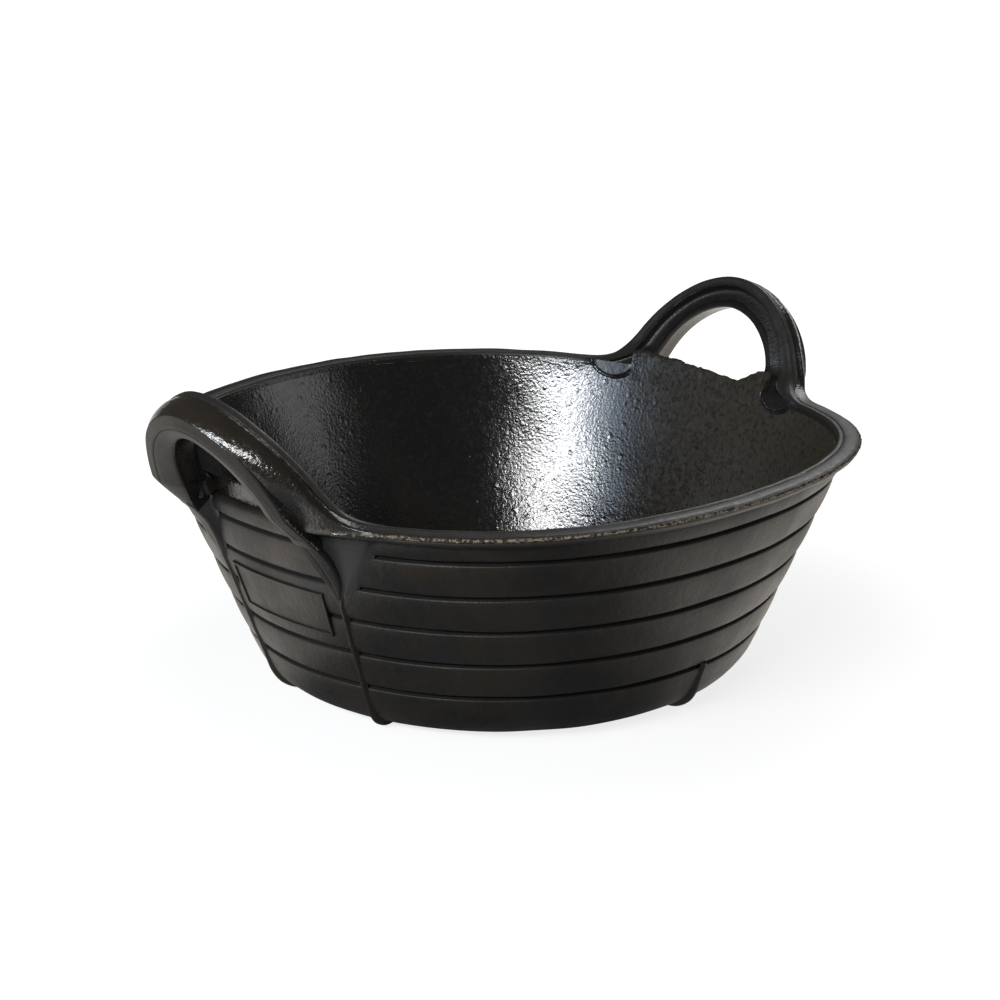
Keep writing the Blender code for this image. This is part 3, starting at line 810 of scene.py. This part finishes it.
# Dull grey-black rubber with brown clouds and pale scuffs
band_rubber = finish_rubber(
    start_rubber("band_rubber", specular=0.28), base=(0.0065, 0.0066, 0.0067),
    layers=((("Cloud", 0.36, 0.64), (0.0120, 0.0105, 0.0088), 0),
            (("Speck", 0.58, 0.72, 0.0, 0.5), (0.040, 0.037, 0.032), 0)),
    rough=("Cloud", 0.35, 0.65, 0.55, 0.44), bumps=(("Grain", 0.00005), ("Speck", 0.00016)))

for end, side in HANDLE_SIDES:
    make_hole_band(f"{end}_hole_band", side)

# Gussets under the four handle roots: each covers the fin of a band where it sinks into the rib, and a smooth
# pad fills the corner between the fin and the lip. They are pressed on in the same mould.
# Their lines give degrees from the handle's middle, or depth, at heights up the slope.
PAD_SOFT_EDGE = draw_line((MM, 1), (-54, 17.9), (-51, 18.5), (-40, 20.7), (-32, 22.1), (-20, 23.9),
    (-8, 25.6), (-4, 26))
PAD_DEPTH = draw_line((MM, MM), (-54, 0.8), (-45, 1.1), (-30, 1.4), (-20, 1.8), (-12, 2.8), (-6, 4.4),
    (-4, 4.7))
GUSSET_RISE = 0.0495
GUSSET_STEPS = 60
GUSSET_PARTS = 3
GUSSET_STRIP_ROWS = range(8, 26)
FULL_FIN_DEGREES = 2.6


def gusset_section(up):
    """Closed section across a gusset, as (angle, out): over the fin, down to the pad and into the wall."""
    edge = line_at(FIN_EDGE, up)
    shoulder = line_at(FIN_SHOULDER, up)
    soft = line_at(PAD_SOFT_EDGE, up)
    fin = line_at(FIN_DEPTH, up)
    pad = line_at(PAD_DEPTH, up)
    fit = min(1.0, (shoulder - edge) / FULL_FIN_DEGREES)
    return [(edge - 0.30, -0.0012), (edge - 0.20, 0.0002), (edge - 0.08, fin * 0.5),
            (edge, fin - 0.0008 * fit), (edge + 0.22 * fit, fin - 0.0001), (edge + 0.55 * fit, fin),
            ((edge + shoulder) / 2, fin), (shoulder - 0.60 * fit, fin - 0.0001),
            (shoulder - 0.22 * fit, fin - 0.0006 * fit),
            (shoulder + 0.02, (fin + pad) / 2), (shoulder + 0.22 * fit, pad + 0.0003),
            (shoulder + 0.60 * fit, pad), ((shoulder + soft) / 2, pad * 0.97), (soft - 0.8 * fit, pad * 0.85),
            (soft, pad * 0.45), (soft + 0.7, 0.0), (soft + 1.0, -0.0012), ((soft + edge) / 2, -0.0014)]


def make_gusset(name, side, hand):
    levels = [FIN_FOOT + GUSSET_RISE * step / GUSSET_STEPS for step in range(GUSSET_STEPS + 1)]
    sections = [round_corners(gusset_section(up), GUSSET_PARTS) for up in levels]
    rows = len(sections[0])
    bm = bmesh.new()
    strip = bm.verts.layers.float.new("strip")
    for vert, level, row in weave_grid(bm, GUSSET_STEPS, rows):
        row %= rows
        turn, out = sections[level][row]
        vert.co = on_wall(side + hand * radians(turn), levels[level], out)
        vert[strip] = 0.8 if row in GUSSET_STRIP_ROWS else 0.1
    seal(bm)
    soften(bm, strength=0.0003, size=0.022, seed=23.0)
    return finish_piece(name, bm, [gusset_rubber], sharp=50)


# The wall's satin rubber with a grey pad, darker on the strip; the pad's paler colour is partly dust and
# partly painted sheen
gusset_rubber = finish_rubber(
    start_rubber("gusset_rubber", specular=0.40), base=(0.0330, 0.0335, 0.0345),
    layers=((("Cloud", 0.34, 0.66), (0.0460, 0.0430, 0.0380), 0), ("strip", (0.026, 0.025, 0.024), 0)),
    rough=("Cloud", 0.35, 0.65, 0.50, 0.40), bumps=(("Grain", 0.00005), ("Speck", 0.00018)))

for end, side, edge_name, hand in HANDLE_ROOTS:
    gusset = make_gusset(f"{end}_gusset_{edge_name}", side, hand)
    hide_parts(f"{end}_shoulder_pad_{edge_name}")

# Tongues: the flattened ends of the handle strips, pressed on to the inside of the wall under the rim. Each
# is a smooth lens inside a double line, drawn as (reach from its middle, how far it stands off the wall).
TONGUE_ANGLE = 21.8
TONGUE_HALF_WIDTH = 5.4
TONGUE_TOP = -0.0030
TONGUE_DROP = 0.0122
TONGUE_BODY = 0.0012
TONGUE_STEPS = 72
TONGUE_RINGS = 30
TONGUE_RELIEF = draw_line((1, MM), (0, 0.8), (0.7, 0.7), (0.8, 0.5), (0.84, -0.2), (0.885, 0.6), (0.93, 0.5),
    (0.965, -0.3), (1, 0.1), (1.02, -0.5))


def step_profile(steps, spot):
    """A smooth profile through rising (spot, value) pairs."""
    if spot <= steps[0][0]:
        return steps[0][1]
    for (first, low), (second, high) in zip(steps, steps[1:]):
        if spot <= second:
            return low + (high - low) * ease((spot - first) / (second - first))
    return steps[-1][1]


def make_tongue(name, side, hand):
    bm = bmesh.new()
    for vert, step, ring in weave_grid(bm, TONGUE_STEPS, TONGUE_RINGS):
        turn = pi * step / TONGUE_STEPS
        reach = TONGUE_RELIEF[-1][0] * ring / TONGUE_RINGS
        angle = side + hand * radians(TONGUE_ANGLE + TONGUE_HALF_WIDTH * reach * cos(turn))
        up = TONGUE_TOP - TONGUE_DROP * reach * sin(turn)
        vert.co = on_wall(angle, up, -WALL_THICKNESS - step_profile(TONGUE_RELIEF, reach))
    seal(bm, ends=False)
    bm.normal_update()
    if sum(face.normal.x * face.calc_center_median().x for face in bm.faces) > 0:
        bmesh.ops.reverse_faces(bm, faces=bm.faces)
    bmesh.ops.solidify(bm, geom=bm.faces[:], thickness=TONGUE_BODY)
    bmesh.ops.recalc_face_normals(bm, faces=bm.faces)
    return finish_piece(name, bm, [tongue_rubber], sharp=60)


# Smooth blue-black gloss with a faint grain
tongue_rubber = finish_rubber(
    start_rubber("tongue_rubber", specular=0.8), base=(0.0070, 0.0072, 0.0085),
    layers=((("Cloud", 0.35, 0.65), (0.0110, 0.0110, 0.0125), 0),),
    rough=("Speck", 0.3, 0.7, 0.24, 0.36), bumps=(("Speck", 0.00025),))

for end, side, edge_name, hand in HANDLE_ROOTS:
    tongue = make_tongue(f"{end}_tongue_{edge_name}", side, hand)
    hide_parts(f"{end}_handle_tongue_{edge_name}")

# Ribs: solid beads that stiffen the tub, moulded on. One runs from the foot of each gusset down the wall and
# round under the floor, and a short one starts on the lowest band on each side between the handles.
RIB_ANGLE = radians(16.4)
RIB_TOP_HEIGHT = 0.0975
RIB_TOP_LEAN = radians(0.9)
RIB_LEAN_RISE = 0.010
RIB_HALF_WIDTH = 0.0021
RIB_HEIGHT = 0.0030
SIDE_RIB_TOP_HEIGHT = 0.0340
SIDE_RIB_STOP = FLOOR_RADIUS * sin(RIB_ANGLE) + RIB_HALF_WIDTH
RIB_STEPS = 34
RIB_FOOT_STEPS = 22
RIB_FLANK = ((-1.5, -0.30), (-1.15, 0.06), (-0.92, 0.40), (-0.70, 0.80), (-0.35, 0.98), (0.0, 1.0),
             (0.35, 0.98), (0.70, 0.80), (0.92, 0.40), (1.15, 0.06), (1.5, -0.30), (0.5, -0.5), (-0.5, -0.5))


def make_rib(name, angle, top_height, stop_radius, lean_in=0.0):
    """A bead with a rounded crest and soft flanks, swept down the wall and round the foot."""
    path = [slope_point(up_at_height(top_height + (FOOT_TOP - top_height) * step / RIB_STEPS), 0)
            for step in range(RIB_STEPS)]
    path += foot_curve(0, RUNNER_HEIGHT, FOOT_TOP, RIB_FOOT_STEPS) + [(stop_radius, RUNNER_HEIGHT)]
    path = [spot for spot in path if spot[0] >= stop_radius]
    last = len(path) - 1
    bm = bmesh.new()
    for vert, index, row in weave_grid(bm, last, len(RIB_FLANK)):
        across, out = RIB_FLANK[row % len(RIB_FLANK)]
        radius, height = path[index]
        turn = angle + lean_in * max(0.0, (height - top_height + RIB_LEAN_RISE) / RIB_LEAN_RISE)
        along = (Vector(path[min(index + 1, last)]) - Vector(path[max(index - 1, 0)])).normalized()
        if index == last:
            along = Vector((-1, 0))
        square = Vector((-along.y, along.x))
        if square.x < square.y:
            square = -square
        outward = Vector((square.x * cos(turn), square.x * sin(turn), square.y))
        sideways = Vector((-sin(turn), cos(turn), 0))
        under = clamp((FOOT_TOP - height) / 0.012)
        rise = min(0.62 + 0.38 * under, 0.35 + index / 12)
        across *= 0.75 + 0.25 * under
        wander = 0.0004 * noise.noise(Vector((height * 60, turn * 3, 1.0)))
        vert.co = (out_of_round(turn, radius, height) + sideways * (across * RIB_HALF_WIDTH + wander)
                   + outward * (out * RIB_HEIGHT * rise))
    seal(bm)
    return finish_piece(name, bm, [outside_rubber], sharp=60)


for end, side, edge_name, hand in HANDLE_ROOTS:
    rib = make_rib(f"{end}_rib_{edge_name}", side + hand * RIB_ANGLE, RIB_TOP_HEIGHT, FLOOR_RADIUS,
                   hand * RIB_TOP_LEAN)
    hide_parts(f"{end}_wall_rib_{edge_name}")
for place_name, angle in (("front", -pi / 2), ("back", pi / 2)):
    short_rib = make_rib(f"short_rib_{place_name}", angle, SIDE_RIB_TOP_HEIGHT, SIDE_RIB_STOP)
    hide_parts(f"cross_rib_{place_name}")
for runner in ("floor_runner_front", "floor_runner_back", "cross_rib_middle"):
    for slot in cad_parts[runner].material_slots:
        slot.material = outside_rubber

# Trimmed webs: where the mould closes across a hand hole it leaves a thin skin of rubber standing on the edge
# of the wall, cut off by hand. The far one is left as a ragged notch, the near one as a straight edge.
# Their edges are drawn as (along the rim, up), and their section as (share of the height, out).
FAR_WEB_EDGE = draw_line((MM, MM), (-54, 10.5), (-50, 9.2), (-44, 5.8), (-38, 2.6), (-33.5, 0.8), (-20, 1.8),
    (-6, 3.2), (10, 4.4), (22, 5.7), (40, 7.2), (54, 8))
NEAR_WEB_EDGE = draw_line((MM, MM), (-54, 7.5), (-30, 6.6), (0, 5.2), (30, 3.8), (54, 3))
WEB_SECTION = draw_line((1, MM), (0, 1.2), (0.02, -0.1), (0.15, -0.3), (0.35, -0.4), (0.55, -0.4),
    (0.75, -0.3), (0.9, -0.1), (0.97, 0.2), (1, 0.7), (1, 1.4), (0.97, 1.9), (0.88, 2.2), (0.7, 2.3),
    (0.45, 2.4), (0.2, 2.7), (0.05, 3.2), (0, 3))
WEB_HALF_WIDTH = 0.0620
WEB_FOOT = SEAT - 0.0060
WEB_COLUMNS = 220


def straight_at(line, spot):
    """A value read off a line of straight pieces."""
    for (first, low), (second, high) in zip(line, line[1:]):
        if spot <= second:
            return low + (high - low) * max(0.0, (spot - first) / (second - first))
    return line[-1][1]


def make_web(name, side, hand, edge_line, ragged, material):
    bm = bmesh.new()
    for vert, column, row in weave_grid(bm, WEB_COLUMNS, len(WEB_SECTION)):
        along = WEB_HALF_WIDTH * (2 * column / WEB_COLUMNS - 1)
        share, depth = WEB_SECTION[row % len(WEB_SECTION)]
        tears = noise.noise(Vector((along * 260, 0.5, side))) + 0.6 * noise.noise(Vector((along * 700, 2, 0)))
        top = straight_at(edge_line, along) + ragged * tears
        vert.co = on_wall(side + hand * along / RIM_RADIUS, WEB_FOOT + (top - WEB_FOOT) * share,
                          -WALL_THICKNESS + depth)
    seal(bm)
    soften(bm, strength=0.0003, size=0.012, seed=31.0)
    return finish_piece(name, bm, [material], sharp=45)


make_web("near_web_edge", NEAR_SIDE, -1, NEAR_WEB_EDGE, 0.0004, rim_rubber)
make_web("far_web_edge", FAR_SIDE, 1, FAR_WEB_EDGE, 0.0009, inside_rubber)

# The panel between the near ribs: a raised frame on the second and third bands, round a plain plate that
# stands a hair off the wall. It is left bare.
PANEL_HALF_WIDTH = 0.0410
PANEL_BOTTOM = 0.0645
PANEL_TOP = 0.0920
PANEL_LINE = 0.0015
PANEL_RAISE = 0.0013
PANEL_BEVEL = 0.00035
PANEL_BED = 0.0006
PLATE_RAISE = 0.0004
PLATE_BODY = 0.0030
PANEL_RADIUS = 0.185
PANEL_COLUMNS = 60
PANEL_ROWS = 20


def frame_step(index, count, length):
    """How far along a side of the frame a line of points lies, with end steps as wide as the raised line."""
    if index in (0, count):
        return length * index / count
    return PANEL_LINE + (length - 2 * PANEL_LINE) * (index - 1) / (count - 2)


def raise_faces(bm, faces, height):
    raised = bmesh.ops.extrude_face_region(bm, geom=faces)
    lifted = [part for part in raised["geom"] if isinstance(part, bmesh.types.BMVert)]
    bmesh.ops.translate(bm, verts=lifted, vec=(0, 0, height))


def make_panel_frame():
    bm = bmesh.new()
    for vert, column, row in weave_grid(bm, PANEL_COLUMNS, PANEL_ROWS):
        vert.co = Vector((frame_step(column, PANEL_COLUMNS, PANEL_HALF_WIDTH * 2) - PANEL_HALF_WIDTH,
                          frame_step(row, PANEL_ROWS, PANEL_TOP - PANEL_BOTTOM) + PANEL_BOTTOM, 0))
    hollow = [face for face in bm.faces
              if abs(face.calc_center_median().x) < PANEL_HALF_WIDTH - PANEL_LINE
              and PANEL_BOTTOM + PANEL_LINE < face.calc_center_median().y < PANEL_TOP - PANEL_LINE]
    bmesh.ops.delete(bm, geom=hollow, context="FACES")
    raise_faces(bm, bm.faces[:], PANEL_RAISE)
    plate = bmesh.ops.create_grid(bm, x_segments=PANEL_COLUMNS, y_segments=PANEL_ROWS, size=1.0)["verts"]
    for vert in plate:
        vert.co = Vector((vert.co.x * (PANEL_HALF_WIDTH - PANEL_LINE / 2), (PANEL_BOTTOM + PANEL_TOP) / 2
                          + vert.co.y * (PANEL_TOP - PANEL_BOTTOM - PANEL_LINE) / 2, PLATE_RAISE))
    plate = set(plate)
    raise_faces(bm, [face for face in bm.faces if face.verts[0] in plate], -PLATE_BODY)
    bmesh.ops.recalc_face_normals(bm, faces=bm.faces)
    top_edges = [edge for edge in bm.edges
                 if all(vert.co.z > 0.001 for vert in edge.verts) and len(edge.link_faces) == 2
                 and abs(edge.link_faces[0].normal.z - edge.link_faces[1].normal.z) > 0.5]
    bmesh.ops.bevel(bm, geom=top_edges, affect="EDGES", offset=PANEL_BEVEL, segments=2, profile=0.5,
                    material=-1)
    for vert in bm.verts:
        across, height, out = vert.co
        angle = NEAR_SIDE - across / PANEL_RADIUS
        up = up_at_height(height - rim_level(height) * RIM_DIP * cos(2 * angle))
        vert.co = on_wall(angle, up, out + PANEL_BED)
    bmesh.ops.recalc_face_normals(bm, faces=bm.faces)
    return finish_piece("panel_frame", bm, [outside_rubber], sharp=50)


make_panel_frame()

# What the tub stands on and how it is lit: a white sweep that glows to the camera and gives the rubber two
# faint sheens, a dim white room, a tall soft box for the long highlight inside with a cool one beside it, and
# one soft box each from behind the tub and from the right.
FLOOR_GREY = 0.34
FLOOR_HALF_WIDTH = 6.0
SHADOW_INNER, SHADOW_OUTER = 0.18, 0.42
SHADOW_GLOW = 0.80
LEFT_SHEEN = ((-0.35, 0.94, 0.0), 0.06, 0.15)
RIGHT_SHEEN = ((0.9, -0.4, 0.0), 0.0, 0.16)
WARM_WHITE = (1.0, 0.94, 0.85)
WHITE = (1.0, 1.0, 1.0)
COOL_WHITE = (0.62, 0.78, 1.0)
ROOM_LEVEL = 0.08
LAMP_TARGET = 0.1


def seen_directly(tree, path):
    """1 where the camera sees a thing itself, and 0 where it only lights or mirrors."""
    return math_node(tree, "MAXIMUM", path["Is Camera Ray"], path["Is Transmission Ray"])


def make_sweep_material():
    material = bpy.data.materials.new("white_sweep")
    material.use_nodes = True
    tree = material.node_tree
    shader = tree.nodes["Principled BSDF"].inputs
    shader["Base Color"].default_value = (FLOOR_GREY, FLOOR_GREY, FLOOR_GREY, 1.0)
    shader["Roughness"].default_value = 0.9
    shader["Specular IOR Level"].default_value = 0.0
    path = tree.nodes.new("ShaderNodeLightPath").outputs
    place = tree.nodes.new("ShaderNodeTexCoord").outputs["Object"]
    reach = add_node(tree, "ShaderNodeVectorMath", {0: place}, operation="LENGTH").outputs["Value"]
    glow = ramp_node(tree, reach, SHADOW_INNER, SHADOW_OUTER, SHADOW_GLOW, 1.0)
    left, right = (ramp_node(tree, along_node(tree, place, direction), low, high)
                   for direction, low, high in (LEFT_SHEEN, RIGHT_SHEEN))
    mirrored = math_node(tree, "MULTIPLY", path["Is Glossy Ray"], math_node(tree, "ADD", left, right))
    direct = seen_directly(tree, path)
    tree.links.new(blend_colour(tree, direct, WARM_WHITE, WHITE), shader["Emission Color"])
    tree.links.new(math_node(tree, "ADD", math_node(tree, "MULTIPLY", direct, glow), mirrored),
                   shader["Emission Strength"])
    return material


def make_floor():
    bm = bmesh.new()
    bmesh.ops.create_grid(bm, x_segments=2, y_segments=2, size=FLOOR_HALF_WIDTH)
    bmesh.ops.translate(bm, verts=bm.verts, vec=(0, 0, FLOOR_LEVEL))
    return add_object("floor", make_mesh("floor", bm, [make_sweep_material()]))


def make_room():
    """A dim room that the camera sees as white."""
    world = bpy.data.worlds.new("studio")
    world.use_nodes = True
    tree = world.node_tree
    sky = tree.nodes["Background"].inputs
    sky["Color"].default_value = (*WHITE, 1.0)
    seen = seen_directly(tree, tree.nodes.new("ShaderNodeLightPath").outputs)
    level = math_node(tree, "ADD", math_node(tree, "MULTIPLY", seen, 1 - ROOM_LEVEL), ROOM_LEVEL)
    tree.links.new(level, sky["Strength"])
    return world


def add_softbox(name, azimuth, elevation, distance, width, height, watts, colour=WHITE):
    """A soft box at an azimuth and elevation from the middle of the tub, turned to face it."""
    light = bpy.data.lights.new(name, "AREA")
    light.shape = "RECTANGLE"
    light.size = width
    light.size_y = height
    light.energy = watts
    light.color = colour
    turn = Matrix.Rotation(radians(azimuth), 4, "Z") @ Matrix.Rotation(radians(90 - elevation), 4, "Y")
    lamp = add_object(name, light)
    lamp.matrix_world = Matrix.Translation((0, 0, LAMP_TARGET)) @ turn @ Matrix.Translation((0, 0, distance))


floor = make_floor()
bpy.context.scene.world = make_room()
add_softbox("side_softbox", azimuth=-165.8, elevation=27, distance=1.3, width=0.18, height=0.85, watts=11.0)
add_softbox("cool_softbox", azimuth=174, elevation=27, distance=1.3, width=0.34, height=0.85, watts=3.0,
            colour=COOL_WHITE)
add_softbox("back_softbox", azimuth=18, elevation=42, distance=1.4, width=1.0, height=0.6, watts=4.4)
add_softbox("fill_softbox", azimuth=-40, elevation=12, distance=1.3, width=0.9, height=0.5, watts=1.3)

# The camera stands where the photographer's did, at the height and distance that fit the tub's outline.
CAMERA_AZIMUTH = radians(-44.4332)
CAMERA_ELEVATION = radians(18.5111)
CAMERA_ROLL = radians(-0.5972)
CAMERA_DISTANCE = 1.18097
CAMERA_TARGET = Vector((0, 0, 0.073))

camera_data = bpy.data.cameras.new("camera")
camera_data.sensor_width = 36.0
camera_data.lens = 68.509
camera_data.shift_x = -0.0036
camera_data.shift_y = 0.0355
camera = add_object("camera", camera_data)
away = Vector((sin(CAMERA_AZIMUTH) * cos(CAMERA_ELEVATION),
               -cos(CAMERA_AZIMUTH) * cos(CAMERA_ELEVATION), sin(CAMERA_ELEVATION)))
camera.matrix_world = (Matrix.Translation(CAMERA_TARGET + away * CAMERA_DISTANCE)
                       @ Matrix.Rotation(CAMERA_AZIMUTH, 4, "Z")
                       @ Matrix.Rotation(pi / 2 - CAMERA_ELEVATION, 4, "X")
                       @ Matrix.Rotation(CAMERA_ROLL, 4, "Z"))
bpy.context.scene.camera = camera

bpy.context.scene.view_settings.view_transform = "Standard"
